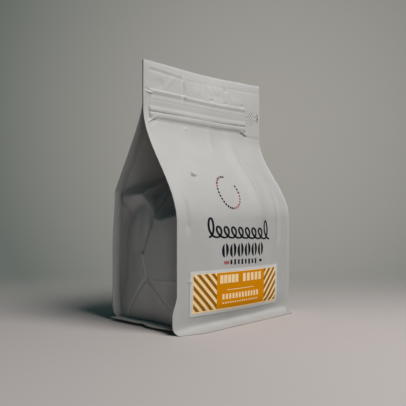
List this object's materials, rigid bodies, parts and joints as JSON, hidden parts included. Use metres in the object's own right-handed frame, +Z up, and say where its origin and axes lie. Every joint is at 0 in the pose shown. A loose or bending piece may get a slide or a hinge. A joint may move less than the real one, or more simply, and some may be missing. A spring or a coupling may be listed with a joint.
{
  "type": "coffee bag",
  "caption": "Shut, filled flat-bottomed coffee pouch with folded side gussets, corner fins, a flat zipped header and a striped paper label.",
  "frame": {"origin": "centre of the bounding box at the floor that the bag stands on", "axes": "+Z up, front panel with the label faces -Y, +X runs along the front panel"},
  "size_m": [0.147, 0.099, 0.2045],
  "materials": {
    "film": "matte white laminated film, softly creased, with faint sheen",
    "label_paper": "matte printed paper label, white border, orange field, cream stripes"
  },
  "bodies": {
    "root": {"bag": "film", "label": "label_paper"}
  },
  "joints": []
}
